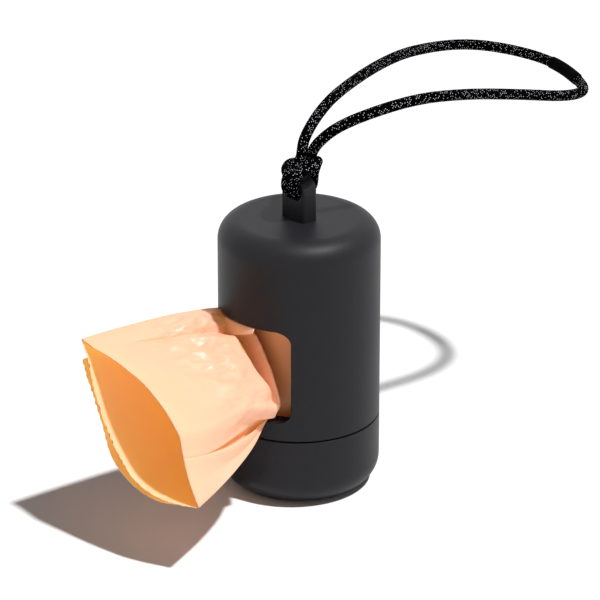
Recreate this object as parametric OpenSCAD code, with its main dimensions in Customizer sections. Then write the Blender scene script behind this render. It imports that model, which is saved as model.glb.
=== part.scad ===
// Hand-held dispenser for rolled dog waste bags: a round screw-together
// canister with a window, a hang tab and a cord loop, one bag half pulled.
// Millimetres, +Z up, origin at the centre of the flat resting face,
// the window looks along -Y.

/* [Body] */
// outside diameter of the canister
body_d = 44; // [40:1:56]
// height from the resting face to the flat top
body_h = 77; // [72:1:90]
// thickness of the side wall
wall = 2; // [1.5:0.1:3]
// thickness of the roof
roof = 2.2; // [1.5:0.1:3]
// radius of the rounded top edge
top_round = 6; // [2:0.5:8]
// radius of the rounded bottom edge
base_round = 7.5; // [3:0.5:9]

/* [Screw cap] */
// height of the shoulder that the casing stands on
cap_h = 20; // [16:0.5:26]
// thickness of the cap floor
floor_t = 2.4; // [1.6:0.1:4]
// height of the threaded neck above the shoulder
neck_h = 5; // [4:0.25:7]
// wall of the threaded neck
neck_wall = 1.4; // [1:0.1:2]
// height gap of the groove seen at the seam
seam_gap = 0.6; // [0.2:0.1:1]
// depth of the groove seen at the seam
seam_depth = 0.8; // [0.3:0.1:1.2]
// rise of the thread in one turn
pitch = 2; // [1.5:0.25:3]
// height that one thread ridge stands proud
ridge_h = 0.85; // [0.5:0.05:1.2]
// radial play between the thread ridges and the wall they face
thread_play = 0.35; // [0.2:0.05:0.6]
// radial play of the pilot land at the foot of the neck
pilot_play = 0.05; // [0.02:0.01:0.1]

/* [Window] */
// width of the window
win_w = 30; // [20:1:34]
// height of the window
win_h = 27; // [18:1:34]
// height of the window's lower edge
win_z = 25.5; // [22:0.5:34]
// radius of the window corners
win_round = 3.5; // [1:0.5:6]

/* [Hang tab] */
// width of the tab
tab_w = 9.2; // [7:0.2:14]
// thickness of the tab where it leaves the roof
tab_t = 5.1; // [4:0.1:8]
// thickness of the tab at its rounded tip
tab_tip_t = 4.3; // [3:0.1:6]
// height of the hole's centre above the roof
hole_rise = 7.5; // [6:0.25:12]
// width of the cord hole
hole_w = 6.4; // [4:0.2:8]
// height of the cord hole
hole_h = 3.4; // [3:0.1:6]
// play of the tab in its slot, each side
tab_play = 0.05; // [0.02:0.01:0.2]
// how far the flange under the roof reaches past the tab
flange_reach = 2.4; // [1:0.2:4]
// thickness of that flange
flange_t = 1.6; // [1:0.1:3]

/* [Roll] */
// diameter of the rolled bags
roll_d = 31; // [26:0.5:32]
// length of the rolled bags
roll_l = 59.5; // [50:0.5:64]
// outside diameter of the paper core
core_d = 14; // [10:0.5:18]
// wall of the paper core
core_wall = 1; // [0.6:0.1:2]
// radial play of the film on the core
core_play = 0.05; // [0.02:0.01:0.1]
// height of the seat ring under the core
seat_h = 0.4; // [0.2:0.1:1]
// gap under the film so that the core alone carries
film_lift = 0.3; // [0.1:0.1:1]

/* [Pulled bag] */
// width of the folded film as it lies on the roll
bag_w = 58; // [48:1:62]
// thickness of the bag wall with its crumples
film_t = 0.7; // [0.5:0.1:1.2]
// thickness of the film strip between the roll and the window
strip_t = 0.45; // [0.3:0.05:0.7]
// clearance of the film to what it passes
film_gap = 0.3; // [0.2:0.05:0.6]
// length of film drawn out in one pull
pull_l = 12; // [8:1:16]

/* [Cord] */
// diameter of the braided cord
cord_d = 3; // [2:0.1:4]
// diameter of the cord where the hitch squeezes it
hitch_d = 2.4; // [1.6:0.1:2.5]
// half of the gap between the loop's tips and the hitch's
tip_gap = 0.3; // [0.2:0.05:0.5]
// diameter of the sleeve over the cord's ends
sleeve_d = 3.6; // [3.2:0.1:5]

/* [Hidden] */
$fn = 96;
eps = 0.01;
body_r = body_d / 2;
bore_r = body_r - wall;
ceiling_z = body_h - roof;
roll_r = roll_d / 2;
core_r = core_d / 2;
neck_in_r = roll_r + 0.5;
neck_r = neck_in_r + neck_wall;
neck_top = cap_h + neck_h;
collar_r = neck_r + ridge_h + thread_play;
collar_top = neck_top + 0.2;
cap_in_r = body_r - wall - 0.2;
pilot_h = 0.8;
slope_top = cap_h - 2.2;
slope_low = slope_top - (cap_in_r - neck_in_r);
core_z = floor_t + seat_h;
film_z = core_z + film_lift;
hole_z = body_h + hole_rise;
tab_r = tab_w / 2;
tip_z = hole_z + tab_r;
flange_w = tab_w + 2 * flange_reach;
flange_d = tab_t + 2 * flange_reach;

CASING = [0.055, 0.055, 0.06];
TAB = [0.05, 0.05, 0.055];
CAP = [0.06, 0.06, 0.065];
PAPER = [0.72, 0.6, 0.45];
FILM = [0.96, 0.55, 0.25];
BRAID = [0.09, 0.09, 0.09];
SLEEVE = [0.03, 0.03, 0.03];

// A ridge winding upward, section tapered from its root to its crest.
module thread_ridge(root_r, crest_r, z0, from_deg, to_deg) {
    steps = ceil((to_deg - from_deg) / 15);
    half_root = 0.55;
    half_crest = 0.2;
    section = [[root_r, -half_root], [crest_r, -half_crest],
               [crest_r, half_crest], [root_r, half_root]];
    pts = [for (i = [0:steps]) let (a = from_deg + i * (to_deg - from_deg) / steps)
        for (p = section) [p[0] * cos(a), p[0] * sin(a), z0 + pitch * a / 360 + p[1]]];
    flip = crest_r < root_r;
    sides = [for (i = [0:steps - 1], k = [0:3]) let (n = (k + 1) % 4, a = 4 * i)
        for (f = [[a + k, a + n, a + 4 + k], [a + n, a + 4 + n, a + 4 + k]])
            flip ? [f[2], f[1], f[0]] : f];
    last = 4 * steps;
    caps = flip ? [[0, 1, 2, 3], [last + 3, last + 2, last + 1, last]]
                : [[3, 2, 1, 0], [last, last + 1, last + 2, last + 3]];
    polyhedron(points = pts, faces = concat(sides, caps), convexity = 6);
}

module rounded_slot(w, d, r, h) {
    linear_extrude(height = h)
        union() {
            square([w - 2 * r, d], center = true);
            square([w, d - 2 * r], center = true);
            for (x = [-1, 1], y = [-1, 1])
                translate([x * (w / 2 - r), y * (d / 2 - r)]) circle(r = r);
        }
}

module casing() {
    color(CASING)
    difference() {
        union() {
            difference() {
                rotate_extrude() {
                    difference() {
                        union() {
                            translate([0, cap_h]) square([body_r, body_h - top_round - cap_h]);
                            translate([0, body_h - top_round])
                                square([body_r - top_round, top_round]);
                            intersection() {
                                translate([body_r - top_round, body_h - top_round])
                                    circle(r = top_round);
                                translate([body_r - top_round, body_h - top_round])
                                    square([top_round, top_round]);
                            }
                        }
                        translate([0, collar_top + bore_r - collar_r])
                            square([bore_r, ceiling_z - collar_top - bore_r + collar_r - 4]);
                        translate([0, ceiling_z - 4]) square([bore_r - 4, 4]);
                        translate([bore_r - 4, ceiling_z - 4]) circle(r = 4);
                        polygon([[0, collar_top], [collar_r, collar_top],
                                 [bore_r, collar_top + bore_r - collar_r],
                                 [0, collar_top + bore_r - collar_r]]);
                        translate([0, cap_h - 1]) square([collar_r, collar_top - cap_h + 1]);
                        translate([body_r - seam_depth, cap_h - 1])
                            square([seam_depth + 1, 1 + seam_gap]);
                    }
                }
            }
            thread_ridge(collar_r + 0.2, collar_r - ridge_h, cap_h + 2.2, -90, 360);
        }
        translate([0, 0, win_z + win_h / 2])
            rotate([90, 0, 0])
                rounded_slot(win_w, win_h, win_round, body_r + 2);
        translate([0, 0, ceiling_z - 1])
            rounded_slot(tab_w + 2 * tab_play, tab_t + 2 * tab_play, 1 + tab_play, roof + 2);
    }
}

module hang_tab() {
    color(TAB)
    union() {
        translate([-flange_w / 2, -flange_d / 2, ceiling_z - flange_t])
            cube([flange_w, flange_d, flange_t]);
        difference() {
            intersection() {
                translate([0, 0, ceiling_z - flange_t / 2])
                    rounded_slot(tab_w, tab_t, 1, tip_z - ceiling_z + flange_t / 2 + 1);
                rotate([90, 0, 0])
                    translate([0, 0, -tab_t])
                        linear_extrude(height = 2 * tab_t)
                            union() {
                                translate([-tab_r, ceiling_z - flange_t / 2])
                                    square([tab_w, hole_z - ceiling_z + flange_t / 2]);
                                translate([0, hole_z]) circle(r = tab_r);
                            }
                rotate([90, 0, 90])
                    translate([0, 0, -tab_w])
                        linear_extrude(height = 2 * tab_w)
                            polygon([[-tab_t / 2, ceiling_z - flange_t], [tab_t / 2, ceiling_z - flange_t],
                                     [tab_t / 2, body_h], [tab_tip_t / 2, tip_z + 1],
                                     [-tab_tip_t / 2, tip_z + 1], [-tab_t / 2, body_h]]);
            }
            rotate([90, 0, 0])
                translate([0, 0, -tab_t])
                    linear_extrude(height = 2 * tab_t)
                        union() {
                            translate([-(hole_w - hole_h) / 2, hole_z - hole_h / 2])
                                square([hole_w - hole_h, hole_h]);
                            for (x = [-1, 1])
                                translate([x * (hole_w - hole_h) / 2, hole_z]) circle(r = hole_h / 2);
                        }
        }
    }
}

module base_cap() {
    color(CAP)
    union() {
        rotate_extrude()
            difference() {
                union() {
                    translate([0, 0]) square([body_r - base_round, base_round]);
                    intersection() {
                        translate([body_r - base_round, base_round]) circle(r = base_round);
                        translate([body_r - base_round, 0]) square([base_round, base_round]);
                    }
                    translate([0, base_round]) square([body_r, cap_h - base_round]);
                    translate([0, cap_h]) square([neck_r, neck_h]);
                    translate([0, cap_h]) square([collar_r - pilot_play, pilot_h]);
                    translate([0, cap_h - 1]) square([neck_r, 1]);
                }
                polygon([[0, floor_t], [cap_in_r - 5, floor_t], [cap_in_r, floor_t + 5],
                         [cap_in_r, slope_low], [neck_in_r, slope_top],
                         [neck_in_r, neck_top + 1], [0, neck_top + 1]]);
            }
        rotate_extrude()
            translate([core_r - core_wall - 0.4, floor_t - 0.2])
                square([core_wall + 0.6, seat_h + 0.2]);
        thread_ridge(neck_r - 0.2, neck_r + ridge_h, cap_h + 1.2, 0, 540);
    }
}

module roll_core() {
    color(PAPER)
    translate([0, 0, core_z])
        difference() {
            cylinder(h = roll_l + film_lift, r = core_r);
            translate([0, 0, -1]) cylinder(h = roll_l + film_lift + 2, r = core_r - core_wall);
        }
}

module bag_roll() {
    color(FILM)
    translate([0, 0, film_z])
        difference() {
            cylinder(h = roll_l, r = roll_r);
            translate([0, 0, -1]) cylinder(h = roll_l + 2, r = core_r + core_play);
        }
}

// A place on the bag: to the side, out from the casing and up from the
// window's lower edge, in widths of the folded film.
function spot(p) = [bag_w * p[0], -body_r - bag_w * p[1], win_z + bag_w * p[2]];
// A place at the window: to the side in half window widths, out from the
// casing in mm, and up in window heights.
function sill(p) = [win_w / 2 * p[0], -body_r - p[1], win_z + win_h * p[2]];
neck_x = -win_w / 2 + film_gap + strip_t;
neck_low = win_z + 0.11 * win_h;
neck_high = win_z + win_h - 0.12 * win_h;

// Rings of the pulled bag from mouth to window. Each starts at the top fold,
// goes down the front over the tucked lobe, the crest and the side slit to
// the bottom fold, and comes back up the rear layer.
BAG_FREE = [
    [[-0.260, 0.716, 0.505], [-0.221, 0.712, 0.498], [-0.174, 0.710, 0.491], [-0.160, 0.709, 0.490],
     [-0.147, 0.709, 0.488], [0.155, 0.688, 0.417], [0.290, 0.678, 0.333], [0.374, 0.669, 0.241],
     [0.395, 0.662, 0.133], [0.397, 0.660, 0.119], [0.402, 0.660, 0.105], [0.481, 0.647, -0.095],
     [0.395, 0.650, -0.114], [0.172, 0.662, -0.138], [-0.045, 0.679, -0.012], [-0.193, 0.702, 0.283]],
    [[-0.248, 0.521, 0.503], [-0.193, 0.526, 0.490], [-0.150, 0.526, 0.474], [-0.141, 0.514, 0.471],
     [-0.103, 0.540, 0.471], [0.164, 0.526, 0.379], [0.283, 0.516, 0.293], [0.347, 0.505, 0.202],
     [0.328, 0.498, 0.095], [0.316, 0.486, 0.071], [0.334, 0.490, 0.050], [0.419, 0.479, -0.081],
     [0.344, 0.481, -0.093], [0.144, 0.489, -0.101], [-0.056, 0.500, 0.025], [-0.193, 0.514, 0.296]],
    [[-0.234, 0.328, 0.497], [-0.169, 0.340, 0.481], [-0.131, 0.341, 0.448], [-0.138, 0.310, 0.428],
     [-0.059, 0.371, 0.455], [0.174, 0.366, 0.357], [0.272, 0.353, 0.269], [0.321, 0.343, 0.188],
     [0.269, 0.334, 0.067], [0.234, 0.303, 0.026], [0.269, 0.321, 0.017], [0.360, 0.314, -0.050],
     [0.296, 0.314, -0.054], [0.123, 0.317, -0.042], [-0.059, 0.323, 0.080], [-0.185, 0.328, 0.314]],
    [[-0.221, 0.133, 0.481], [-0.143, 0.152, 0.467], [-0.109, 0.159, 0.402], [-0.155, 0.117, 0.360],
     [-0.012, 0.203, 0.441], [0.179, 0.203, 0.340], [0.271, 0.193, 0.257], [0.297, 0.179, 0.183],
     [0.250, 0.172, 0.071], [0.212, 0.141, 0.029], [0.231, 0.150, 0.007], [0.284, 0.147, -0.016],
     [0.232, 0.145, -0.009], [0.091, 0.144, 0.024], [-0.065, 0.143, 0.139], [-0.177, 0.140, 0.329]]
];
BAG_SILL = [
    [[-0.813, -3.50, 0.970], [-0.460, -2.00, 0.907], [-0.393, -1.50, 0.774], [-0.460, -1.80, 0.730],
     [0.113, 2.00, 0.881], [0.720, 2.40, 0.648], [1.007, 1.80, 0.496], [1.107, 1.00, 0.333],
     [1.013, 0.50, 0.181], [0.827, -0.80, 0.126], [0.827, -0.60, 0.100], [0.707, -1.20, 0.067],
     [0.560, -1.40, 0.093], [0.147, -1.70, 0.189], [-0.333, -2.10, 0.404], [-0.687, -2.70, 0.715]],
    [[-0.817, -4.40, 0.941], [-0.467, -3.00, 0.941], [-0.140, -2.30, 0.956], [0.093, -2.00, 0.952],
     [0.307, -1.60, 0.941], [0.620, -1.40, 0.815], [0.800, -1.50, 0.633], [0.900, -1.80, 0.448],
     [0.927, -2.10, 0.285], [0.887, -2.10, 0.174], [0.813, -2.00, 0.107], [0.680, -2.20, 0.078],
     [0.453, -2.60, 0.100], [0.040, -3.00, 0.189], [-0.440, -3.50, 0.404], [-0.760, -4.10, 0.715]]
];
// The open mouth reaches in between the layers.
BAG_MOUTH = [
    [[-0.228, 0.711, 0.458], [-0.137, 0.700, 0.449], [-0.054, 0.689, 0.432], [0.028, 0.680, 0.412],
     [0.111, 0.670, 0.393], [0.190, 0.661, 0.370], [0.255, 0.655, 0.329], [0.311, 0.652, 0.276],
     [0.340, 0.653, 0.190], [0.365, 0.655, 0.099], [0.399, 0.659, 0.017], [0.416, 0.666, -0.084],
     [0.171, 0.677, -0.120], [0.023, 0.685, -0.035], [-0.086, 0.694, 0.099], [-0.169, 0.703, 0.263]],
    [[-0.207, 0.519, 0.445], [-0.135, 0.513, 0.437], [-0.066, 0.507, 0.425], [-0.004, 0.503, 0.404],
     [0.057, 0.499, 0.382], [0.119, 0.494, 0.361], [0.181, 0.490, 0.340], [0.231, 0.489, 0.306],
     [0.273, 0.490, 0.262], [0.300, 0.492, 0.200], [0.279, 0.501, 0.084], [0.263, 0.511, -0.027],
     [0.075, 0.518, -0.039], [-0.039, 0.519, 0.032], [-0.107, 0.520, 0.157], [-0.172, 0.521, 0.285]],
    [[-0.164, 0.333, 0.394], [-0.107, 0.331, 0.394], [-0.033, 0.326, 0.412], [0.009, 0.326, 0.394],
     [0.051, 0.326, 0.377], [0.092, 0.325, 0.359], [0.134, 0.325, 0.341], [0.176, 0.325, 0.324],
     [0.212, 0.327, 0.300], [0.242, 0.329, 0.270], [0.265, 0.333, 0.232], [0.187, 0.349, 0.083],
     [0.023, 0.354, 0.044], [-0.052, 0.350, 0.101], [-0.100, 0.346, 0.187], [-0.147, 0.341, 0.274]]
];
FRONT_N = 11;
BACK_N = 5;
// where the film is gathered flat before it enters the casing
function neck_ring() = let (
        a = [neck_x, 5 - body_r, neck_high], c = [0, 0, neck_low - neck_high], h = 0.7 * film_t)
    concat([for (i = [0:FRONT_N - 1]) let (t = i / FRONT_N) a + c * t + [0.1 + h * sin(180 * t), 0, 0]],
           [for (i = [0:BACK_N - 1]) let (t = 1 - i / BACK_N) a + c * t - [0.1 + h * sin(180 * t), 0, 0]]);

module shell(outer, inner, m) {
    no = len(outer);
    ni = len(inner);
    pts = concat([for (r = outer) each r], [for (r = inner) each r]);
    o = no * m;
    outside = [for (i = [0:no - 2], k = [0:m - 1]) let (n = (k + 1) % m, a = i * m)
        each [[a + k, a + m + k, a + n], [a + n, a + m + k, a + m + n]]];
    inside = [for (i = [0:ni - 2], k = [0:m - 1]) let (n = (k + 1) % m, a = o + i * m)
        each [[a + k, a + n, a + m + k], [a + n, a + m + n, a + m + k]]];
    rim = [for (k = [0:m - 1]) let (n = (k + 1) % m)
        each [[k, n, o + k], [n, o + n, o + k]]];
    back = [for (k = [1:m - 2]) [(no - 1) * m, (no - 1) * m + k + 1, (no - 1) * m + k]];
    bottom = [for (k = [1:m - 2]) [o + (ni - 1) * m, o + (ni - 1) * m + k, o + (ni - 1) * m + k + 1]];
    polyhedron(points = pts, faces = concat(outside, inside, rim, back, bottom), convexity = 8);
}

module pulled_bag() {
    color(FILM)
    shell(concat([for (r = BAG_FREE) [for (p = r) spot(p)]],
                 [for (r = BAG_SILL) [for (p = r) sill(p)]],
                 [neck_ring()]),
          [for (r = BAG_MOUTH) [for (p = r) spot(p)]],
          FRONT_N + BACK_N);
}

// The film between the roll and the window: a strip that runs off the roll.
neck_dir = [0.12, -0.9928, 0];
neck_out = [-0.9928, -0.12, 0];
strip_r = roll_r + film_gap + strip_t;
strip_back = sqrt(pow(bore_r - film_gap, 2) - pow(strip_r, 2));
strip_front = sqrt(pow(body_r, 2) - pow(strip_r, 2)) + 0.2;
strip_in = strip_front - wall - 1 - pull_l;
function strip_ring(along, low, high) = [
    for (c = [[strip_r - strip_t, low], [strip_r, low], [strip_r, high], [strip_r - strip_t, high]])
        neck_out * c[0] + neck_dir * along + [0, 0, c[1]]];

module bag_neck() {
    rings = [strip_ring(-strip_back, neck_low, neck_high + pull_l * 0.4),
             strip_ring(strip_in, neck_low, neck_high),
             strip_ring(strip_front, neck_low, neck_high)];
    color(FILM)
    polyhedron(
        points = [for (r = rings) each r],
        faces = concat(
            [[3, 2, 1, 0], [8, 9, 10, 11]],
            [for (i = [0:1], k = [0:3]) let (n = (k + 1) % 4, a = 4 * i)
                each [[a + k, a + n, a + 4 + k], [a + n, a + 4 + n, a + 4 + k]]]),
        convexity = 4);
}

// Centre line of the cord, once round: out along the far strand, through
// the sleeve, back along the near strand and through the hitch in the tab.
FAR = [[-1, 1.5, 93.5], [-2, 3, 96], [-3, 5, 98.5], [-5, 10.5, 102], [-8, 18, 104],
    [-11.5, 27.5, 104.5], [-16.5, 38.5, 104], [-22.5, 51.5, 102.5], [-28, 64.5, 100.5],
    [-31, 75, 98.5], [-32, 84.5, 97], [-30.5, 92, 96], [-27, 97.5, 95], [-22, 101.5, 94],
    [-16, 104, 93.5], [-9.5, 104.5, 93.5]];
SLEEVED = [[-5, 104.5, 93], [-0.5, 103.5, 92], [3.5, 102.5, 91.5]];
NEAR = [[11, 98, 92], [15.5, 89.5, 94], [17, 79, 96.5], [16.5, 71, 99], [16.5, 63, 101],
    [16.5, 54, 103.5], [17.5, 44.5, 106], [18.5, 36, 108], [18.5, 28, 109.5],
    [17.5, 21, 109.5], [15.5, 15, 108.5], [13, 10, 107], [9.5, 6, 104.5],
    [5.5, 3, 100], [3.5, 2.5, 97.5], [2, 2, 94]];
HITCH = [[1.6, 0.4, 92.1], [1.7, -1.3, 91], [1.8, -3, 89.9], [1.7, -3.8, 88.4],
    [1.65, -3.9, 86.7], [1.6, -3.1, 84.9], [1.5, -1.9, 84.5], [1.5, 0, 84.4],
    [1.5, 1.6, 84.5], [1.6, 2.8, 84.8], [1.8, 3.7, 86], [2.1, 3.9, 87.5],
    [2.6, 3.6, 89], [3.4, 2.8, 90.2], [4.1, 1.5, 91.1], [4.4, 0, 91.8],
    [4, -1.7, 92.4], [2.9, -3, 92.8], [1.4, -3.9, 92.8], [-0.1, -4.2, 92.8],
    [-1.8, -3.9, 92.6], [-3.2, -2.8, 92.1], [-4.1, -1.2, 91.4], [-4.1, 0.3, 90.7],
    [-3.8, 1.9, 89.9], [-3.2, 3.4, 89], [-2.5, 3.9, 87.5], [-2, 3.7, 86],
    [-1.7, 2.8, 84.8], [-1.6, 1.6, 84.5], [-1.5, 0, 84.4], [-1.5, -1.9, 84.5],
    [-1.6, -3.1, 84.9], [-1.5, -3.9, 86.7], [-1.4, -3.8, 88.4], [-1.3, -3, 89.8],
    [-1, -1.4, 90.8], [-1, 0.2, 92]];
ROUTE = concat(FAR, SLEEVED, NEAR, HITCH);
n_far = len(FAR);
n_sleeve = n_far + len(SLEEVED);
n_near = n_sleeve + len(NEAR);
n_all = len(ROUTE);

function heading(i) = let (v = ROUTE[(i + 1) % n_all] - ROUTE[(i + n_all - 1) % n_all]) v / norm(v);
function square_to(n, t) = let (v = n - (n * t) * t) v / norm(v);

// Tube along the centre line from point a to point b, ends square to it.
// A tip tapers that end, so that the loop can swing on the hitch.
module strand(a, b, d, sides, tip_a = false, tip_b = false) {
    cnt = b - a + 1;
    tan = [for (i = [0:cnt - 1]) heading((a + i) % n_all)];
    first = square_to(abs(tan[0][2]) < 0.9 ? [0, 0, 1] : [1, 0, 0], tan[0]);
    nor = [for (i = 0, n = first; i < cnt; i = i + 1, n = square_to(n, tan[min(i, cnt - 1)])) n];
    slim = [for (i = [0:cnt - 1]) (tip_a && i == 0) || (tip_b && i == cnt - 1) ? 0.2 : 1];
    slip = [for (i = [0:cnt - 1]) tip_a && i == 0 ? tip_gap : tip_b && i == cnt - 1 ? -tip_gap : 0];
    pts = [for (i = [0:cnt - 1]) let (u = nor[i], v = cross(tan[i], nor[i]))
        for (k = [0:sides - 1]) let (w = 360 * k / sides)
            ROUTE[(a + i) % n_all] + slip[i] * tan[i] + slim[i] * d / 2 * (cos(w) * u + sin(w) * v)];
    skin = [for (i = [0:cnt - 2], k = [0:sides - 1]) let (n = (k + 1) % sides, q = i * sides)
        each [[q + k, q + sides + k, q + n], [q + n, q + sides + k, q + sides + n]]];
    ends = [[for (k = [0:sides - 1]) k],
            [for (k = [sides - 1:-1:0]) (cnt - 1) * sides + k]];
    polyhedron(points = pts, faces = concat(skin, ends), convexity = 10);
}

module cord_far_run() {
    color(BRAID) strand(0, n_far - 1, cord_d, 8, tip_a = true);
}

module cord_sleeve() {
    color(SLEEVE) strand(n_far - 1, n_sleeve - 1, sleeve_d, 16);
}

module cord_near_run() {
    color(BRAID) strand(n_sleeve - 1, n_near - 1, cord_d, 8, tip_b = true);
}

module cord_hitch() {
    color(BRAID) strand(n_near - 1, n_all, hitch_d, 8, tip_a = true, tip_b = true);
}

casing();
hang_tab();
base_cap();
roll_core();
bag_roll();
pulled_bag();
bag_neck();
cord_far_run();
cord_sleeve();
cord_near_run();
cord_hitch();
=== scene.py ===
# %% [markdown]
# # A dispenser for rolled dog waste bags
# A matte black plastic canister with a screw-on base, a hang tab with a
# braided cord loop hitched through it, and one thin orange bag half pulled
# out of its window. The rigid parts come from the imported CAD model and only
# get their finish here. The cord, its sleeve, the roll and the film are soft
# or wound pieces, so they are made here, over their plain CAD solids. Points
# are in millimetres, x to the right of the window and -y out of it.

# %% Load the frame
import math

import bmesh
import bpy
import numpy as np
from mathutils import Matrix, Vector, noise


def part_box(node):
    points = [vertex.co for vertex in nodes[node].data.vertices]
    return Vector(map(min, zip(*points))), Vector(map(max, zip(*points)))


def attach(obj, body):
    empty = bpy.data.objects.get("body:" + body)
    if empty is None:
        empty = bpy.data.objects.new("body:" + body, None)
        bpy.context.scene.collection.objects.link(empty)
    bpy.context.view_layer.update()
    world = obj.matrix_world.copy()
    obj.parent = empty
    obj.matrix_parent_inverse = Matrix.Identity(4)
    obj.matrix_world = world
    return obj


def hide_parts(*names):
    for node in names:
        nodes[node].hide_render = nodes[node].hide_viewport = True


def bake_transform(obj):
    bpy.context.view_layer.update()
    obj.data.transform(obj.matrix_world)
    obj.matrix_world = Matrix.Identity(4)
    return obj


MM = 0.001
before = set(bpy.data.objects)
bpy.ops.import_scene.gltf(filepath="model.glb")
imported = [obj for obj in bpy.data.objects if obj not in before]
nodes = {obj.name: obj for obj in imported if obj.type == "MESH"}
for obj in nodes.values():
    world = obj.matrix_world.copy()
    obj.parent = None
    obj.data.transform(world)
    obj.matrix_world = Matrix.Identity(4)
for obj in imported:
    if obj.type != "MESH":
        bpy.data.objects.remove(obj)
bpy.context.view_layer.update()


def clear_selection():
    """An operator acts on all that is selected, so nothing may be."""
    if bpy.context.object and bpy.context.object.mode != "OBJECT":
        bpy.ops.object.mode_set(mode="OBJECT")
    for each in list(bpy.context.selected_objects):
        each.select_set(False)


clear_selection()

# %% [markdown]
# ## Camera
# The photograph was taken from well away with a long lens: the canister's
# edges barely draw together. The camera stands 49 degrees to the right of the
# window's own direction and looks down by 24 degrees. The lens is worked out
# from the canister's width in the picture.

# %% Camera
AZIMUTH, TILT = math.radians(48.7), math.radians(24.0)
FAR_OFF = 1.0
AIM = Vector((0, 0, 0.0526))
PIXELS_PER_METRE, PICTURE_WIDTH, SENSOR_MM = 3690, 600, 36
SHIFT_X = 0.0014
level = math.cos(TILT)
back = Vector((math.sin(AZIMUTH) * level, -math.cos(AZIMUTH) * level, math.sin(TILT)))
bpy.ops.object.camera_add(location=AIM + back * FAR_OFF)
camera = bpy.context.object
camera.name = "camera"
camera.rotation_euler = (-back).to_track_quat("-Z", "Y").to_euler()
camera.data.sensor_width = SENSOR_MM
camera.data.lens = PIXELS_PER_METRE / PICTURE_WIDTH * SENSOR_MM
camera.data.shift_x = SHIFT_X
camera.data.clip_start, camera.data.clip_end = 0.05, 20
camera.data.dof.use_dof = False
bpy.context.scene.camera = camera
clear_selection()
print("lens in mm", round(camera.data.lens, 1))

# %% [markdown]
# ## Smooth lines
# Listed points are joined by a Catmull-Rom curve, which passes through
# each of them.


# %% Smooth lines
def through(points, steps):
    """A curve through the points, with the given number of steps in each gap.
    Long gaps get longer strides, so that close points cause no overshoot."""
    p = np.array(points, float)
    p = np.vstack([2 * p[0] - p[1], p, 2 * p[-1] - p[-2]])
    out = []
    for i in range(1, len(p) - 2):
        a, b, c, d = p[i - 1:i + 3]
        k0, k1, k2 = (max(np.linalg.norm(v), 1e-6) ** 0.5 for v in (b - a, c - b, d - c))
        m1 = (c - b) / k1 + ((b - a) / k0 - (c - a) / (k0 + k1))
        m2 = (c - b) / k1 + ((d - c) / k2 - (d - b) / (k1 + k2))
        m1, m2 = m1 * k1, m2 * k1
        for t in np.arange(steps) / steps:
            out.append((2 * t ** 3 - 3 * t ** 2 + 1) * b + (t ** 3 - 2 * t ** 2 + t) * m1
                       + (3 * t ** 2 - 2 * t ** 3) * c + (t ** 3 - t ** 2) * m2)
    out.append(p[-2])
    return np.array(out)


def distances(line):
    """How far along the line each of its points lies."""
    return np.r_[0, np.cumsum(np.linalg.norm(np.diff(line, axis=0), axis=1))]


def evenly(line, step):
    """The same line with its points at one distance from each other."""
    gone = distances(line)
    count = max(2, int(round(gone[-1] / step)) + 1)
    at = np.linspace(0, gone[-1], count)
    return np.stack([np.interp(at, gone, line[:, k]) for k in range(3)], 1)


def eased(line, rounds, keep):
    """Wobble between the listed points is pulled straight, a little at a time."""
    for _ in range(rounds):
        middle = (line[:-2] + line[2:]) / 2
        moved = line[1:-1] + keep[1:-1, None] * (middle - line[1:-1])
        line = np.vstack([line[:1], moved, line[-1:]])
    return line


# %% [markdown]
# ## The route of the cord
# One braided cord makes the whole loop. It runs from the tab's hole up the
# near strand, round through the sleeve that joins its ends, back along the
# far strand and into the hitch. In a girth hitch the two strands enter the
# hole side by side, come out at the back, and the bight lies over them in
# front. The points are those of the CAD model. Outside the hitch the cord is
# springy, so its line is eased there until it bends evenly.

# %% Route
FAR = [(-1, 1.5, 93.5), (-2, 3, 96), (-3, 5, 98.5), (-5, 10.5, 102), (-8, 18, 104),
       (-11.5, 27.5, 104.5), (-16.5, 38.5, 104), (-22.5, 51.5, 102.5), (-28, 64.5, 100.5),
       (-31, 75, 98.5), (-32, 84.5, 97), (-30.5, 92, 96), (-27, 97.5, 95), (-22, 101.5, 94),
       (-16, 104, 93.5), (-9.5, 104.5, 93.5)]
SLEEVED = [(-5, 104.5, 93), (-0.5, 103.5, 92), (3.5, 102.5, 91.5)]
NEAR = [(11, 98, 92), (15.5, 89.5, 94), (17, 79, 96.5), (16.5, 71, 99), (16.5, 63, 101),
        (16.5, 54, 103.5), (17.5, 44.5, 106), (18.5, 36, 108), (18.5, 28, 109.5),
        (17.5, 21, 109.5), (15.5, 15, 108.5), (13, 10, 107), (9.5, 6, 104.5), (5.5, 3, 100),
        (3.5, 2.5, 97.5), (2, 2, 94)]
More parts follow.
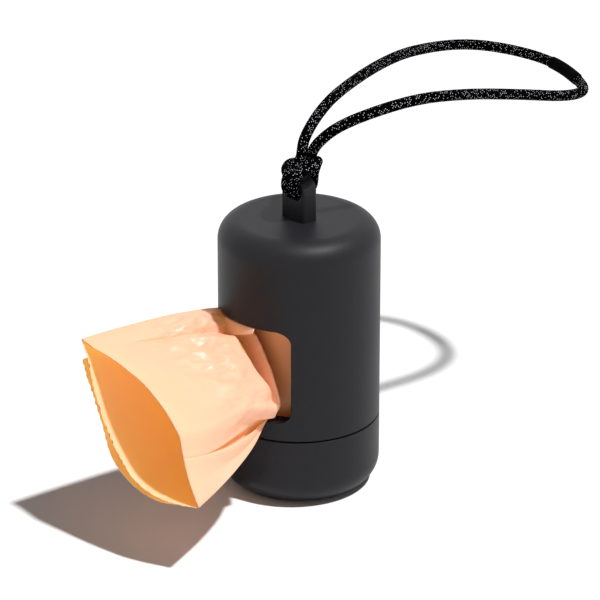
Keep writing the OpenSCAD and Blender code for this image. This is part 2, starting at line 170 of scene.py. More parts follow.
HITCH = [(2.1, 0.7, 92.5), (2.15, -1.2, 91.3), (2.15, -2.9, 90.1), (2.1, -3.7, 88.6),
         (2, -3.8, 87), (1.8, -3.3, 85.5), (1.6, -2, 84.85), (1.5, 0, 84.8), (1.5, 1.6, 84.8),
         (1.5, 2.9, 85.1), (1.4, 3.7, 86.1), (1.2, 4, 87.6), (1.3, 4.1, 89.4), (2, 4.1, 91),
         (2.9, 3.8, 92.6), (3.8, 3.2, 93.5), (4.9, 1.9, 93.6), (5.3, 0, 93.2),
         (4.9, -2.1, 92.6), (4.2, -3.9, 91.8), (3, -5.1, 91.3), (1.1, -5, 91.1),
         (-0.9, -3.8, 91.3), (-2.4, -2.1, 91.5), (-3.2, -0.2, 91.6), (-3.4, 1.7, 91.2),
         (-3, 3.1, 90.1), (-2.4, 3.9, 88.6), (-1.9, 4, 87.2), (-1.7, 3.6, 86),
         (-1.6, 2.8, 85.1), (-1.5, 1.6, 84.8), (-1.4, 0, 84.8), (-1.25, -2, 84.85),
         (-1.15, -3.3, 85.5), (-1, -3.8, 87), (-0.9, -3.7, 88.6), (-0.8, -2.9, 90.1),
         (-0.8, -1.3, 91.2), (-0.9, 0.3, 92.3)]
IN_HOLE = 7
CORD_D = 3.0 * MM
RING_STEP = 0.22 * MM
HITCH_END_Y, FREED_OVER = 4 * MM, 8 * MM
EASE_ROUNDS, EASE_FREE, EASE_TIED = 900, 0.95, 0.01
loop_points = (HITCH[:IN_HOLE + 1][::-1] + NEAR[::-1] + SLEEVED[::-1] + FAR[::-1]
               + HITCH[::-1][:len(HITCH) - IN_HOLE])
route = evenly(through(np.array(loop_points) * MM, steps=12), RING_STEP)
free = np.clip((route[:, 1] - HITCH_END_Y) / FREED_OVER, 0, 1)
route = evenly(eased(route, EASE_ROUNDS, EASE_FREE * free + EASE_TIED), RING_STEP)

# %% [markdown]
# ## The braided cord
# The cover is braided from flat bundles of thin yarn that cross at about 45
# degrees, over one and under one. Each crossing is a small raised pillow, so
# the tube's rings are pushed out pillow by pillow: real relief that breaks up
# the outline, as on the real cord. The map along and round the cord is kept
# as a UV map, which the material uses for the separate yarns.


# %% Tubes
def frames_along(line):
    """Two directions square to the line, carried along without twisting."""
    head = np.gradient(line, axis=0)
    head /= np.linalg.norm(head, axis=1)[:, None]
    side = np.cross(head[0], (0, 0, 1.0))
    sides = []
    for t in head:
        side = side - side.dot(t) * t
        side /= np.linalg.norm(side)
        sides.append(side)
    sides = np.array(sides)
    return sides, np.cross(head, sides)


def smooth_object(name, mesh):
    """A smooth-shaded object that stands at the origin."""
    mesh.shade_smooth()
    piece = bpy.data.objects.new(name, mesh)
    bpy.context.collection.objects.link(piece)
    return piece


def tube(name, line, radii, sides, relief=None):
    """A closed tube round a line; relief(s, w) pushes each corner out."""
    u, v = frames_along(line)
    gone = distances(line)
    w = 2 * np.pi * np.arange(sides) / sides
    r = radii[:, None] + (relief(gone[:, None], w[None, :]) if relief else 0)
    ring = (line[:, None, :] + r[:, :, None] * (np.cos(w)[None, :, None] * u[:, None, :]
                                                + np.sin(w)[None, :, None] * v[:, None, :]))
    last = len(line) - 1
    corners = [((i, k), (i, k + 1), (i + 1, k + 1), (i + 1, k))
               for i in range(last) for k in range(sides)]
    faces = [tuple(i * sides + k % sides for i, k in face) for face in corners]
    faces += [tuple(range(sides))[::-1], tuple(last * sides + k for k in range(sides))]
    mesh = bpy.data.meshes.new(name)
    mesh.from_pydata(ring.reshape(-1, 3).tolist(), [], faces)
    uv = mesh.uv_layers.new(name="along")
    coords = np.zeros((len(mesh.loops), 2), np.float32)
    coords[:4 * len(corners)] = [(k / sides, gone[i] / MM) for face in corners for i, k in face]
    uv.data.foreach_set("uv", coords.ravel())
    mesh.validate()
    return smooth_object(name, mesh)


# %% Braided cord
SIDES, BUNDLES = 60, 12
PILLOW = 2 * np.pi * CORD_D / 2 / BUNDLES
BRAID_RISE, MEAN_RISE = 0.15 * MM, 0.7
TIGHT = 0.92
HITCH_TOP_Z, HITCH_FRONT_Y, SWELLS_OVER = 92 * MM, 5 * MM, 5 * MM


def braid_relief(s, w):
    """Pillows where the two ways of the braid cross."""
    a = BUNDLES * w / (2 * np.pi) + s / PILLOW
    b = BUNDLES * w / (2 * np.pi) - s / PILLOW
    pillow = np.abs(np.sin(np.pi * a)) * np.abs(np.sin(np.pi * b))
    return BRAID_RISE * (np.sqrt(pillow) - MEAN_RISE)


loose = (np.clip((route[:, 2] - HITCH_TOP_Z) / SWELLS_OVER, 0, 1)
         + np.clip((route[:, 1] - HITCH_FRONT_Y) / SWELLS_OVER, 0, 1))
radii = CORD_D / 2 * (TIGHT + (1 - TIGHT) * np.clip(loose, 0, 1))
cord = tube("cord_braid", route, radii, SIDES, braid_relief)
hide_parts("cord_far_run", "cord_near_run", "cord_hitch")
print("braid pillows in mm", round(PILLOW / MM, 2), "triangles", 2 * len(cord.data.polygons))

# %% [markdown]
# ## The sleeve
# A smooth tube is shrunk over the cord's joined ends. It lies on the cord's
# own line, and its cut ends are slightly rolled in.

# %% Sleeve
SLEEVE_R, SLEEVE_SIDES = 1.78 * MM, 40
ROLLED_IN, ROLLED_OVER = 0.16 * MM, 0.5 * MM
ends = sorted(int(np.linalg.norm(route - np.array(p) * MM, axis=1).argmin())
              for p in (FAR[-1], SLEEVED[-1]))
sleeve_line = route[ends[0]:ends[1] + 1]
count = np.arange(len(sleeve_line))
reach = np.minimum(count, count[::-1]) * RING_STEP
sleeve_radii = SLEEVE_R - ROLLED_IN * np.clip(1 - reach / ROLLED_OVER, 0, 1) ** 2
sleeve = tube("sleeve_tube", sleeve_line, sleeve_radii, SLEEVE_SIDES)
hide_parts("cord_sleeve")
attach(sleeve, "loop")
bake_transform(cord)
print("sleeve in mm", round(distances(sleeve_line)[-1] / MM, 1))

# %% [markdown]
# ## Sheets of film
# A bag is a flat tube of film, folded lengthwise and torn off at a row of
# perforations. Each visible layer is one sheet: lines of listed points
# from the open mouth to the window, made smooth both ways. The crumples are
# sharp ridges between flat facets, not round waves, and they are drawn out
# along the pull of the bag. A sheet gets its small thickness last.

# %% Film surfaces
FILM_T = 0.12 * MM
PULLED_OUT, CREASE_GAIN, FAINT = 2.2, 1.6, 0.01


def surface(lines, along, across):
    """A smooth grid over lines of points: lines run along, rows across."""
    rows = np.array([through(np.array(line) * MM, along) for line in lines])
    cols = [through(rows[:, i, :], across) for i in range(rows.shape[1])]
    return np.stack(cols, axis=1)


def shares(grid):
    """From 0 to 1 along the lines and across them, for each grid point."""
    return np.linspace(0, 1, grid.shape[1])[None, :], np.linspace(0, 1, grid.shape[0])[:, None]


def rises(x, start, length):
    """0 up to the start, then smoothly to 1 over the length."""
    x = np.clip((x - start) / length, 0, 1)
    return x * x * (3 - 2 * x)


def falls(x, end, length):
    """Smoothly from 1 to 0 over the length before the end, then 0."""
    return rises(-x, -end, length)


def normals_of(grid):
    """The direction square to the grid at each of its points."""
    n = np.cross(np.gradient(grid, axis=1), np.gradient(grid, axis=0))
    return n / np.maximum(np.linalg.norm(n, axis=2), 1e-12)[:, :, None]


def ridges(p, size, seed):
    """From 0 on a crease to about 1 on a facet: crumpled film."""
    q = Vector((p[0], p[1] / PULLED_OUT, p[2])) / size + Vector((seed, seed * 1.7, -seed))
    near = noise.voronoi(q)[0]
    return min(1.0, (near[1] - near[0]) * CREASE_GAIN)


def crumple(grid, weight, size, depth, seed):
    """Moves each point of the grid along its normal by the crumples."""
    n = normals_of(grid)
    out = grid.copy()
    for i, j in zip(*np.nonzero(weight > FAINT)):
        h = ridges(grid[i, j], size, seed) - 0.5
        out[i, j] += n[i, j] * depth * weight[i, j] * h
    return out


# %% Film pieces
PERFORATION, RAG = 1.9 * MM, 1.3 * MM
TOOTH_SHARE, RAG_SHARE = 0.9, 1.1


def torn(grid, seed, depth=0.45 * MM):
    """The mouth's edge tears from hole to hole, so it has small teeth."""
    out = grid.copy()
    inward = grid[:, 1] - grid[:, 0]
    inward /= np.linalg.norm(inward, axis=1)[:, None]
    for i, at in enumerate(distances(grid[:, 0])):
        tooth = abs((at / PERFORATION) % 1 - 0.5) * 2
        rag = 0.5 + 0.5 * noise.noise(Vector((at / RAG, seed, 0)))
        out[i, 0] += inward[i] * depth * (TOOTH_SHARE * tooth + RAG_SHARE * rag)
    return out


def film_piece(name, grid):
    """A sheet of film from a grid of points, thickened to both sides."""
    rows, cols = grid.shape[:2]
    mesh = bpy.data.meshes.new(name)
    faces = [(i * cols + j, i * cols + j + 1, (i + 1) * cols + j + 1, (i + 1) * cols + j)
             for i in range(rows - 1) for j in range(cols - 1)]
    mesh.from_pydata(grid.reshape(-1, 3).tolist(), [], faces)
    uv = mesh.uv_layers.new(name="along")
    idx = np.empty(len(mesh.loops), np.int32)
    mesh.loops.foreach_get("vertex_index", idx)
    step, drop = (np.linalg.norm(np.diff(grid, axis=k), axis=2).mean() / MM for k in (1, 0))
    coords = np.stack([idx % cols * step, idx // cols * drop], 1)
    uv.data.foreach_set("uv", coords.astype(np.float32).ravel())
    piece = smooth_object(name, mesh)
    clear_selection()
    bpy.context.view_layer.objects.active = piece
    piece.select_set(True)
    solid = piece.modifiers.new("thickness", "SOLIDIFY")
    solid.thickness, solid.offset = FILM_T, 0
    bpy.ops.object.modifier_apply(modifier="thickness")
    clear_selection()
    return piece


# %% [markdown]
# ## The front of the bag
# The front bulges up towards the light. Near the window it gathers: an upper
# lobe tucks in behind the front panel along a crisp fold, and a gusset opens
# as a slit near the lower edge. At its right edge the film turns back under
# itself and then into the window. Each line runs from the mouth to the
# window, and the lines go from the upper edge to the lower one. Lines that
# lie close together make the sharp folds.

# %% Lines of the front
FRONT = [
    [(-15.1, -63.5, 54.8), (-14.4, -52.2, 54.7), (-13.6, -41, 54.3), (-12.8, -29.7, 53.4),
     (-12.2, -18.5, 51.7)],
    [(-12.8, -63.3, 54.2), (-11.2, -52.5, 53.9), (-9.8, -41.7, 53.4), (-8.3, -30.8, 52.7),
     (-6.4, -20, 50.4)],
    [(-10.1, -63.2, 53.7), (-8.7, -52.5, 52.9), (-7.6, -41.8, 51.4), (-6.1, -31.4, 48.9),
     (-5, -20.8, 46.2)],
    [(-9.3, -63.1, 53.7), (-8.2, -51.9, 52.6), (-7.9, -40.2, 50.3), (-8.6, -29, 46.6),
     (-9.2, -19.2, 43.8)],
    [(-8.5, -63.1, 53.7), (-6, -53.3, 52.7), (-3.4, -43.5, 51.8), (-0.7, -33.8, 51.1),
     (1.7, -24, 49.3)],
    [(-2.7, -62.7, 53), (-0.4, -53.1, 51.4), (1.6, -43.6, 50.3), (3.3, -34, 49.2),
     (4.7, -24.4, 47)],
    [(2.6, -62.4, 51.8), (4.4, -52.8, 49.7), (5.8, -43.4, 48.5), (6.9, -33.9, 47.4),
     (7.8, -24.4, 45.1)],
    [(9, -61.9, 49.7), (9.5, -52.5, 47.5), (10.1, -43.2, 46.2), (10.4, -33.8, 45.2),
     (9.7, -23.8, 42.3)],
    [(16.8, -61.3, 44.8), (16.4, -51.9, 42.5), (15.8, -42.5, 41.1), (15.7, -33.2, 40.4),
     (13.7, -22.5, 38.1)],
    [(20.2, -60.9, 41.1), (19, -51.5, 38.8), (17.8, -42.1, 37.8), (16.8, -32.6, 37.4),
     (13.8, -21.8, 34.3)],
    [(21.7, -60.8, 39.5), (20.1, -51.3, 37.2), (18.6, -41.9, 36.4), (17.2, -32.4, 36.1),
     (15.7, -21.6, 33.3)],
    [(22.6, -60.5, 34.8), (20.4, -50.8, 32.1), (17.9, -41.2, 31.3), (15.4, -31.6, 31.3),
     (14.2, -21.6, 29.2)],
    [(22.8, -60.4, 33.9), (20.5, -50.7, 31.1), (17.8, -41.1, 30.6), (15.2, -31.6, 30.8),
     (11.6, -22, 30.1)],
    [(22.9, -60.4, 33.2), (20.5, -50.6, 30.4), (17.8, -41, 29.9), (15, -31.5, 30.1),
     (10.9, -21.9, 29.6)],
    [(22.8, -60.3, 32.9), (20.2, -50.3, 29.9), (16, -39.4, 28.6), (12.9, -29.7, 28.6),
     (9.8, -20.9, 28.7)],
    [(23.1, -60.2, 32.2), (20.5, -50.3, 29.9), (16.2, -38.8, 27), (12.7, -28.5, 26.2),
     (9.8, -19.9, 26.9)],
    [(23.2, -60.3, 32), (20.8, -50.6, 29.9), (18.3, -40.6, 28), (15, -30.6, 27.4),
     (10.9, -20.9, 27.4)],
    [(23.4, -60.3, 31.2), (21.1, -50.7, 29.1), (18.6, -40.8, 27.1), (15.3, -30.8, 26.6),
     (11, -21, 27.3)],
    [(25, -60, 26.2), (21.8, -50.1, 24.6), (18.6, -40.4, 24), (15, -30.5, 24.9),
     (10.8, -20.8, 27.4)],
    [(27.9, -59.5, 20), (24.3, -49.8, 20.8), (20.9, -40.2, 22.6), (16.5, -30.5, 24.6),
     (10.6, -20.8, 27.3)],
]
print("front lines", len(FRONT))

# %% Front of the bag
front_grid = surface(FRONT, along=26, across=11)
t, s = shares(front_grid)
near_window = rises(t, 0.25, 0.5) * falls(t, 1, 0.14) * rises(s, 0, 0.05) * falls(s, 1, 0.1)
rough = near_window * (0.25 + 0.75 * falls(s, 0.62, 0.3))
for size, depth, seed in ((10, 1.4, 3.1), (4.5, 0.95, 8.4), (2.2, 0.36, 2.7)):
    front_grid = crumple(front_grid, rough, size * MM, depth * MM, seed)
calm = rises(t, 0, 0.1) * falls(t, 1, 0.05) * np.full_like(s, 0.3)
front_grid = crumple(front_grid, calm, 17 * MM, 1.2 * MM, seed=5.5)
front = film_piece("bag_front", torn(front_grid, seed=1.0, depth=0.7 * MM))
print("front grid", front_grid.shape)

# %% [markdown]
# ## The back of the bag
# The back layer hangs away from the front and leaves the mouth open. Its
# mouth edge lies lower, so a strip of it catches the light past the shadow of
# the front layer. It shares its upper and lower edge with the front.

# %% Back of the bag
MOUTH_BACK = [(-15.1, -63.5, 54.8), (-11.5, -64.3, 50.4), (-7.4, -65.8, 44.1),
              (-2.3, -66.2, 35.4), (3.3, -66.3, 28.5), (9.1, -65.9, 23.3), (15.4, -64.8, 20.9),
              (19.9, -63.2, 20), (23.8, -61.4, 19.8), (27.9, -59.5, 20)]
WINDOW_BACK = [(-12.2, -18.5, 51.7), (-11.6, -18.9, 48.6), (-10.3, -19.3, 44.8),
               (-8, -19.6, 40.4), (-5, -19.9, 36.4), (-1.6, -20.1, 33), (2.2, -20.3, 30.6),
               (5.4, -20.4, 29.2), (8.4, -20.6, 28), (10.6, -20.8, 27.3)]
BELLY, SAG_POWER = 0.12, 1.15
upper_edge, lower_edge = np.array(FRONT[0]), np.array(FRONT[-1])


def back_line(share, mouth, window):
    """From the mouth to the window, hanging out a little on the way."""
    if share in (0, 1):
        return lower_edge if share else upper_edge
    f = np.linspace(0, 1, len(upper_edge))[:, None]
    flat = upper_edge * (1 - share) + lower_edge * share
    slack = (1 - f) ** SAG_POWER
    sag = (mouth - flat[0]) * slack + (window - flat[-1]) * (1 - slack)
    return flat + sag * (1 + BELLY * np.sin(math.pi * f))


BACK = [back_line(i / (len(MOUTH_BACK) - 1), *ends)
        for i, ends in enumerate(zip(MOUTH_BACK, WINDOW_BACK))]
back_grid = surface(BACK, along=22, across=9)
t, s = shares(back_grid)
rough = rises(t, 0.1, 0.6) * falls(t, 1, 0.06) * rises(s, 0, 0.08) * falls(s, 1, 0.08)
back_grid = crumple(back_grid, rough, 14 * MM, 1.2 * MM, seed=2.2)
rear = film_piece("bag_back", torn(back_grid, seed=4.0))
print("back grid", back_grid.shape)

# %% [markdown]
# ## The outer fold of the back
# The folded film has one more layer behind the back one. Its corner hangs
# about 6 mm below the bag's own corner and its edge stands just outside. It
# closes up to the back layer on its way to the window.

# %% Outer fold
MOUTH_OUTER = [(-14.4, -63.9, 49.3), (-12.1, -64.5, 45.9), (-8.3, -65.2, 41.2),
               (-4.4, -65.4, 33.8), (-1, -65.3, 26), (4.2, -64.9, 21.8), (10.5, -63.8, 19),
               (16.2, -62.3, 18.1), (20.8, -60.9, 18.8), (27.7, -59.4, 19.9)]
STARTS_AT, CLOSES_BY = 0.1, 0.16
OUTER = []
for i, mouth in enumerate(MOUTH_OUTER):
    share = STARTS_AT + (1 - STARTS_AT) * i / (len(MOUTH_OUTER) - 1)
    at = share * (len(BACK) - 1)
    row = int(min(at, len(BACK) - 2))
    behind = BACK[row] * (1 - (at - row)) + BACK[row + 1] * (at - row)
    lift = mouth - behind[0]
    OUTER.append([behind[k] + lift * (1 - CLOSES_BY * k) for k in range(4)])
outer_grid = torn(surface(OUTER, along=18, across=8), seed=9.0)
outer = film_piece("bag_outer_fold", outer_grid)
print("outer fold grid", outer_grid.shape)

# %% [markdown]
# ## The film in the window
# Between the bag and the roll the film is gathered: it comes off the roll's
# left side, crosses the window in the casing's shade and folds over at the
# window's right-hand edge. From there it runs back under the front panel, and
# its last line joins the panel's own end. A small flap stands over its top.

# %% Film in the window
JOIN = [(-12.2, -18.4, 51.6), (-6.4, -19.9, 50.3), (-4.9, -20.7, 46.4), (1.7, -23.9, 49.2),
        (6.2, -24.2, 46), (9.7, -23.7, 42.2), (13.6, -22.4, 38), (13.8, -21.7, 33.8),
        (13.9, -21.4, 29.6), (10.6, -20.8, 27.3)]
UNDER = [(-12.5, -18.2, 51.3), (-8.9, -19.2, 48.5), (-7.3, -19.2, 45.2), (-5.6, -18.9, 42.4),
         (-1.2, -18.7, 39.4), (3.1, -18.5, 36.4), (6.4, -18.2, 33.3), (8, -18, 30.2),
         (9.3, -18.6, 28.2), (9.8, -20.3, 27)]
FOLD = [(-12.1, -17.5, 51.2), (-3.1, -18.4, 50.5), (2.8, -18.5, 49.3), (5.2, -18.3, 46.5),
        (7.4, -18, 42.8), (9.2, -17.5, 38.8), (10.4, -17.1, 34.9), (11.4, -16.9, 31.3),
        (11, -17.6, 28.5), (10.1, -19.9, 26.8)]
INSIDE = [(-13.2, -15.2, 50.4), (-9.4, -16.6, 50.2), (-6.2, -17.4, 49.4), (-3.6, -17.8, 47.6),
          (-1.6, -18, 44.4), (-0.4, -18.1, 41), (0.2, -18.1, 37.4), (0.2, -18.1, 34),
          (-0.6, -18, 31), (-2, -17.8, 28.8)]
TO_ROLL = [(-13.4, -12.4, 0), (-14.9, -7.5, 0), (-15.95, 0, 1.5), (-17.2, 8.5, 3.5)]
FLAP = [
    [(-10.7, -19.4, 50.9), (-5.5, -21, 51.7), (0.4, -21.4, 52), (5.9, -21.1, 52.4)],
    [(-9.9, -19.8, 48.3), (-4.7, -21.5, 49.6), (1.1, -22, 50.8), (6.2, -21.6, 51.8)],
    [(-9, -20.2, 45.5), (-4.3, -21.7, 47.2), (1.5, -22.4, 49.5), (6.1, -21.9, 51.1)],
]
STRIP_TOP_Z, LINE_DROP = 50.0, 2.35
neck_lines = []
for i, shown in enumerate(zip(JOIN, UNDER, FOLD, INSIDE)):
    high = STRIP_TOP_Z - LINE_DROP * i
    neck_lines.append([*shown, *((x, y, high + z) for x, y, z in TO_ROLL)])
neck_grid = surface(neck_lines, along=11, across=9)
t, s = shares(neck_grid)
rough = rises(t, 0, 0.05) * falls(t, 0.55, 0.1) * rises(s, 0, 0.1) * falls(s, 1, 0.1)
neck_grid = crumple(neck_grid, rough, 5 * MM, 0.5 * MM, seed=6.6)
neck = film_piece("bag_neck_film", neck_grid)
flap = film_piece("bag_top_flap", surface(FLAP, along=10, across=10))
flap.select_set(True)
neck.select_set(True)
bpy.context.view_layer.objects.active = neck
bpy.ops.object.join()
clear_selection()
print("neck grid", neck_grid.shape)


# %% [markdown]
# ## The film's flat sizes
# Each sheet has a width and length laid flat listed here, and its area is
# printed beside theirs: its own width and length along the film, and a share
# more for what its folds take up. All of it rides with the pulled bag.


# %% Film on its body
def area_of(grid):
    """The area of the sheet in the grid, in square metres."""
    a, b = np.diff(grid, axis=0)[:, :-1], np.diff(grid, axis=1)[:-1, :]
    return float(np.linalg.norm(np.cross(a, b), axis=2).sum())


for piece in (front, rear, outer, neck):
    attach(piece, "bag")
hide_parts("pulled_bag")
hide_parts("bag_neck")
for piece, grid, wide, long in ((front, front_grid, 0.074, 0.045),
                                (rear, back_grid, 0.066, 0.045),
                                (outer, outer_grid, 0.06, 0.032),
                                (neck, neck_grid, 0.032, 0.05)):
    print(piece.name, "cm2", round(area_of(grid) * 1e4, 1), "of", round(wide * long * 1e4, 1))

# %% [markdown]
# ## The roll of bags
# Film wound tightly round a paper core. The wound ends show as fine rings,
# and the last turn's edge is a small step down the side of the roll.

# %% Roll of bags
roll_low, roll_high = (np.array(c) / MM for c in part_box("bag_roll"))
ROLL_R, BORE_R = (roll_high[0] - roll_low[0]) / 2, 7.06
ROLL_H = roll_high[2] - roll_low[2]
END_RINGS, END_RIPPLE, EDGE_ROUND = 14, 0.12, 0.25
SIDE_BANDS, BAND_DIP = 10, 0.05
LAST_TURN, LAST_TURN_AT = 0.006, math.pi * 0.62
clear_selection()
bpy.ops.mesh.primitive_circle_add(vertices=180, radius=BORE_R * MM,
                                  location=(0, 0, roll_low[2] * MM))
roll = bpy.context.object
roll.name = "roll_of_bags"
bpy.ops.object.mode_set(mode="EDIT")
bpy.ops.mesh.select_all(action="SELECT")


def extrude_to(radius_now, radius_next, rise):
    """Draws the selected ring out to the next radius and height."""
    bpy.ops.mesh.extrude_region_move(TRANSFORM_OT_translate={"value": (0, 0, rise * MM)})
    share = radius_next / radius_now
    if abs(share - 1) > 1e-6:
        bpy.ops.transform.resize(value=(share, share, 1), center_override=(0, 0, 0))
    return radius_next


at = BORE_R
for i in range(END_RINGS):
    target = BORE_R + (ROLL_R - BORE_R) * (i + 1) / END_RINGS
    at = extrude_to(at, target - (EDGE_ROUND if i == END_RINGS - 1 else 0),
                    END_RIPPLE if i % 2 else -END_RIPPLE)
at = extrude_to(at, ROLL_R, EDGE_ROUND)
for i in range(SIDE_BANDS):
    at = extrude_to(at, ROLL_R - (BAND_DIP if i % 3 == 1 else 0),
                    (ROLL_H - 2 * EDGE_ROUND) / SIDE_BANDS)
at = extrude_to(at, ROLL_R - EDGE_ROUND, EDGE_ROUND)
for i in range(END_RINGS):
    target = ROLL_R + (BORE_R - ROLL_R) * (i + 1) / END_RINGS
    at = extrude_to(at, target, -END_RIPPLE if i % 2 else END_RIPPLE)
bpy.ops.object.mode_set(mode="OBJECT")

# %% Roll's bore and last turn
bm = bmesh.new()
bm.from_mesh(roll.data)
bmesh.ops.bridge_loops(bm, edges=[e for e in bm.edges if e.is_boundary])
bmesh.ops.recalc_face_normals(bm, faces=bm.faces)
for v in bm.verts:
    if math.hypot(v.co.x, v.co.y) > 0.9 * ROLL_R * MM:
        turn = ((math.atan2(v.co.y, v.co.x) + LAST_TURN_AT) % (2 * math.pi)) / (2 * math.pi)
        v.co.x *= 1 - LAST_TURN * turn
        v.co.y *= 1 - LAST_TURN * turn
bm.to_mesh(roll.data)
bm.free()
clear_selection()
bpy.context.view_layer.objects.active = roll
roll.select_set(True)
bpy.ops.object.transform_apply(location=True, rotation=True, scale=True)
bpy.ops.object.shade_smooth_by_angle(angle=math.radians(35))
clear_selection()
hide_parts("bag_roll")
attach(roll, "roll")
print("roll radius", round(ROLL_R, 2), "height", round(ROLL_H, 1))

# %% [markdown]
# ## Finishes
# Colours are written as the hex values that a picture program shows. The
# shader works in linear light, so one function converts them, and one small
# function adds a node with its settings and links. Patterns have their size
# in millimetres and are fixed to the object.


# %% Material helpers
def linear(hex_value, share=1.0):
    """An sRGB hex colour as linear RGBA, with its light scaled by the share."""
    parts = [int(hex_value[i:i + 2], 16) / 255 for i in (1, 3, 5)]
    light = [c / 12.92 if c <= 0.04045 else ((c + 0.055) / 1.055) ** 2.4 for c in parts]
    return [min(1.0, c * share) for c in light] + [1.0]


def set_input(tree, socket, value):
    """Gives the socket a plain value, or a link if the value is an output."""
    if isinstance(value, bpy.types.NodeSocket):
        tree.links.new(value, socket)
    else:
        socket.default_value = value


def add(tree, kind, settings=None, **inputs):
    """Adds a node. Inputs by name are plain values or other nodes' outputs."""
    node = tree.nodes.new(kind)
    for key, value in (settings or {}).items():
        setattr(node, key, value)
    for key, value in inputs.items():
        set_input(tree, node.inputs[key.replace("_", " ")], value)
    return node


def calc(tree, operation, *values):
    """Adds one step of arithmetic and gives its result."""
    node = add(tree, "ShaderNodeMath", {"operation": operation})
    for socket, value in zip(node.inputs, values):
        set_input(tree, socket, value)
    return node.outputs[0]


def pattern(tree, size_mm, detail, roughness):
    """Cloudy noise, from 0 to 1, whose clouds have this size."""
    where = add(tree, "ShaderNodeTexCoord")
    return add(tree, "ShaderNodeTexNoise", Vector=where.outputs["Object"],
               Scale=1 / (size_mm * MM), Detail=detail, Roughness=roughness).outputs["Fac"]


def between(tree, share, first, second):
    """A colour between two, by a share from 0 to 1."""
    return add(tree, "ShaderNodeMix", {"data_type": "RGBA"}, Factor=share,
               A=first, B=second).outputs["Result"]


def new_tree(name):
    """A material with an empty node tree."""
    material = bpy.data.materials.new(name)
    material.use_nodes = True
    material.node_tree.nodes.clear()
    return material, material.node_tree


def show(tree, shader):
    """Makes the shader the one that the material shows."""
    add(tree, "ShaderNodeOutputMaterial", Surface=shader.outputs[0])


def paint(material, *pieces):
    """Gives the pieces this material and no other."""
    for piece in pieces:
        piece.data.materials.clear()
        piece.data.materials.append(material)
    print(material.name, "on", [piece.name for piece in pieces])


# %% [markdown]
# ## Moulded plastic
# The canister is moulded in black ABS with a fine spark-eroded grain, about
# half a millimetre across. The grain is too fine to see as bumps at this
# distance, but it spreads the shine, so the surface looks dark grey and even.
# Moulded edges are never sharp, so a bevel that only bends the light rounds
# them. The hang tab is a little smoother than the canister.

# %% Moulded plastic
CLOUD_MM, DARKEST, PALEST = 16.67, 0.88, 1.14
DULLER, SHINIER = 0.05, 0.04


def moulded(name, hex_value, roughness, grain_mm, grain_depth_mm, edge_mm, ior):
    """Plastic with a grain, rounded edges and slightly uneven tone and shine."""
    material, tree = new_tree(name)
    cloud = pattern(tree, CLOUD_MM, 3.0, 0.55)
    tone = between(tree, cloud, linear(hex_value, DARKEST), linear(hex_value, PALEST))
    spread = add(tree, "ShaderNodeMapRange", Value=cloud, To_Min=roughness - SHINIER,
                 To_Max=roughness + DULLER)
    edge = add(tree, "ShaderNodeBevel", {"samples": 6}, Radius=edge_mm * MM)
    bump = add(tree, "ShaderNodeBump", Height=pattern(tree, grain_mm, 2.0, 0.6), Strength=1.0,
               Distance=grain_depth_mm * MM, Normal=edge.outputs["Normal"])
    show(tree, add(tree, "ShaderNodeBsdfPrincipled", Base_Color=tone, IOR=ior,
                   Roughness=spread.outputs["Result"], Normal=bump.outputs["Normal"]))
    return material


grained_abs = moulded("grained_abs", "#1C1C20", 0.47, 0.45, 0.05, 0.3, ior=1.3)
satin_abs = moulded("satin_abs", "#242427", 0.42, 0.5, 0.02, 0.7, ior=1.22)
shrunk = moulded("shrunk_polyolefin", "#0A0A0B", 0.5, 0.5, 0.01, 0.1, ior=1.03)
paint(grained_abs, nodes["casing"], nodes["base_cap"])
paint(satin_abs, nodes["hang_tab"])
paint(shrunk, sleeve)

# %% [markdown]
# ## Polythene film
# Low-density polythene, dyed orange and blown into film. Light that glances
# off it is pale. Light that comes through loses its blue each time, so the
# inside of the bag glows orange. The shader adds a pale diffuse share and a
# yellow translucent one. On the roll the many layers let next to none through.

# %% Film material
HAZE_MM, HAZE_DARK, HAZE_PALE = 7.14, 0.95, 1.03
FINE_MM, FINE_DEPTH_MM = 1.111, 0.03


def dyed_polythene(name, face_hex, through_hex):
    """Film with a colour for its face and one for light that comes through."""
    material, tree = new_tree(name)
    tone = between(tree, pattern(tree, HAZE_MM, 4.0, 0.6), linear(face_hex, HAZE_DARK),
                   linear(face_hex, HAZE_PALE))
    bump = add(tree, "ShaderNodeBump", Height=pattern(tree, FINE_MM, 3.0, 0.6), Strength=0.5,
               Distance=FINE_DEPTH_MM * MM).outputs["Normal"]
    face = add(tree, "ShaderNodeBsdfPrincipled", Base_Color=tone, Roughness=0.42, IOR=1.51,
               Normal=bump)
    glow = add(tree, "ShaderNodeBsdfTranslucent", Color=linear(through_hex), Normal=bump)
    both = add(tree, "ShaderNodeAddShader")
    for shader, socket in zip((face, glow), both.inputs):
        set_input(tree, socket, shader.outputs["BSDF"])
    show(tree, both)
    return material


paint(dyed_polythene("dyed_polythene", "#D6ADA4", "#ABA430"), front, rear, outer, neck)
paint(dyed_polythene("wound_polythene", "#FBAE74", "#301004"), roll)
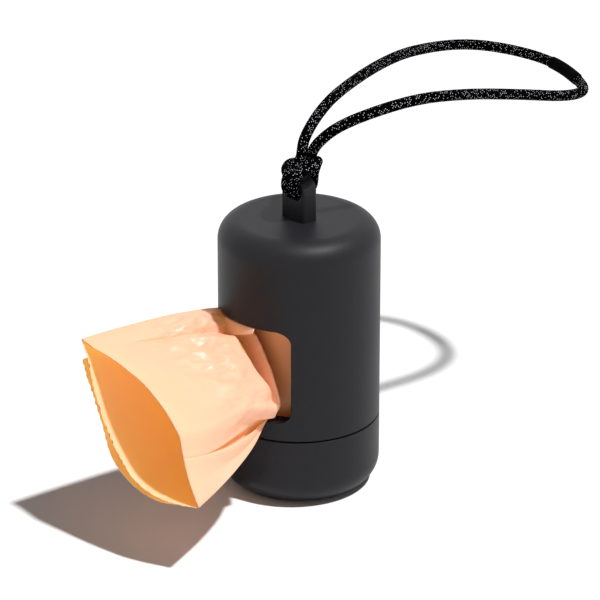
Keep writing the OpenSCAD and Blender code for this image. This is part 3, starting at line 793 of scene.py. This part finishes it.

# %% [markdown]
# ## Braided yarn
# Black polyester yarn. The yarns inside each bundle follow its direction, so
# the map along the cord is turned by the braid's angle, one way on the
# bundles that go over and the other way on those that go under. Single
# filaments glint in the light, and these glints are painted: about a third of
# the crossings get a pale dot in the colour, a painted highlight.

# %% Braid material
YARNS, YARN_DEPTH_MM = 4, 0.06
# Size and share of the painted glints: pale dots in the colour that stand in for highlights.
GLINT_DOT_R, UNGLINTED = 0.2, 0.68
braid, tree = new_tree("braided_polyester")
mapped = add(tree, "ShaderNodeUVMap", {"uv_map": "along"})
place = add(tree, "ShaderNodeSeparateXYZ", Vector=mapped.outputs["UV"])
round_it = calc(tree, "MULTIPLY", place.outputs["X"], BUNDLES)
along_it = calc(tree, "DIVIDE", place.outputs["Y"], PILLOW / MM)
lanes = [calc(tree, way, round_it, along_it) for way in ("ADD", "SUBTRACT")]
cells = [calc(tree, "FLOOR", lane) for lane in lanes]
over = calc(tree, "PINGPONG", calc(tree, "ADD", *cells), 1.0)
picks = []
for lane, on_top in zip(lanes, (over, calc(tree, "SUBTRACT", 1.0, over))):
    waves = calc(tree, "SINE", calc(tree, "MULTIPLY", lane, math.pi * YARNS))
    picks.append(calc(tree, "MULTIPLY", calc(tree, "ABSOLUTE", waves), on_top))
yarns = calc(tree, "ADD", *picks)
cell = add(tree, "ShaderNodeCombineXYZ", X=cells[0], Y=cells[1])
dice = add(tree, "ShaderNodeTexWhiteNoise", {"noise_dimensions": "2D"},
           Vector=cell.outputs["Vector"])
squares = []
for lane in lanes:
    off = calc(tree, "SUBTRACT", calc(tree, "FRACT", lane), 0.5)
    squares.append(calc(tree, "MULTIPLY", off, off))
# A pale dot in the middle of some crossings is a painted highlight, not a pale yarn.
in_glint_dot = calc(tree, "LESS_THAN", calc(tree, "ADD", *squares), GLINT_DOT_R ** 2)
painted_glint = calc(tree, "MULTIPLY", in_glint_dot,
             calc(tree, "GREATER_THAN", dice.outputs[0], UNGLINTED))
bump = add(tree, "ShaderNodeBump", Height=yarns, Strength=0.8, Distance=YARN_DEPTH_MM * MM)
# Black yarn, with the painted highlights as pale dots.
tone = between(tree, painted_glint, linear("#060607"), linear("#DCDCE2"))
show(tree, add(tree, "ShaderNodeBsdfPrincipled", Base_Color=tone, Roughness=0.5, IOR=1.03,
               Normal=bump.outputs["Normal"]))
paint(braid, cord)

# %% [markdown]
# ## Paper core
# The core is brown paper, which hardly shows inside the canister.

# %% Paper core
FIBRE_MM, FIBRE_DEPTH_MM = 0.625, 0.05
paper, tree = new_tree("wound_paper")
fibre = pattern(tree, FIBRE_MM, 4.0, 0.7)
bump = add(tree, "ShaderNodeBump", Height=fibre, Strength=0.6, Distance=FIBRE_DEPTH_MM * MM)
tone = between(tree, fibre, linear("#A98761"), linear("#C9A880"))
show(tree, add(tree, "ShaderNodeBsdfPrincipled", Base_Color=tone, Roughness=0.85,
               Normal=bump.outputs["Normal"]))
paint(paper, nodes["roll_core"])

# %% [markdown]
# ## Floor and light
# A white table. One lamp stands high on the right, nearly a point of light,
# so the shadows have firm edges and fall to the left. A pale sky fills them.
# The sky looks white where it is seen, mirrored or seen through something,
# and gives much less light than that.

# %% Floor
WHITE = (1.0, 1.0, 1.0, 1.0)
clear_selection()
bpy.ops.mesh.primitive_plane_add(size=6, location=(0, 0, 0))
floor = bpy.context.object
floor.name = "floor"
table, tree = new_tree("white_table")
show(tree, add(tree, "ShaderNodeBsdfDiffuse", Color=WHITE, Roughness=0.0))
paint(table, floor)
clear_selection()

# %% Lights
TO_LAMP = Vector((0.43, 0.14, 1.0)).normalized()
LAMP_POWER, LAMP_ANGLE = 3.3, math.radians(3.0)
SKY_LIGHT, SKY_SEEN = 0.14, 1.0
bpy.ops.object.light_add(type="SUN", location=TO_LAMP * 2)
lamp = bpy.context.object
lamp.name = "key_lamp"
lamp.rotation_euler = TO_LAMP.to_track_quat("Z", "Y").to_euler()
lamp.data.energy = LAMP_POWER
lamp.data.angle = LAMP_ANGLE
clear_selection()
world = bpy.data.worlds.new("pale_room")
bpy.context.scene.world = world
world.use_nodes = True
sky = world.node_tree
sky.nodes.clear()
path = add(sky, "ShaderNodeLightPath").outputs
looked_at = calc(sky, "MAXIMUM", path["Is Camera Ray"], path["Is Glossy Ray"])
looked_at = calc(sky, "MAXIMUM", looked_at, path["Is Transmission Ray"])
pick = add(sky, "ShaderNodeMixShader")
set_input(sky, pick.inputs[0], looked_at)
for socket, strength in zip(pick.inputs[1:], (SKY_LIGHT, SKY_SEEN)):
    glow = add(sky, "ShaderNodeBackground", Color=WHITE, Strength=strength)
    set_input(sky, socket, glow.outputs[0])
add(sky, "ShaderNodeOutputWorld", Surface=pick.outputs[0])
bpy.context.scene.view_settings.view_transform = "Standard"
print("lamp", LAMP_POWER, "sky", SKY_LIGHT)
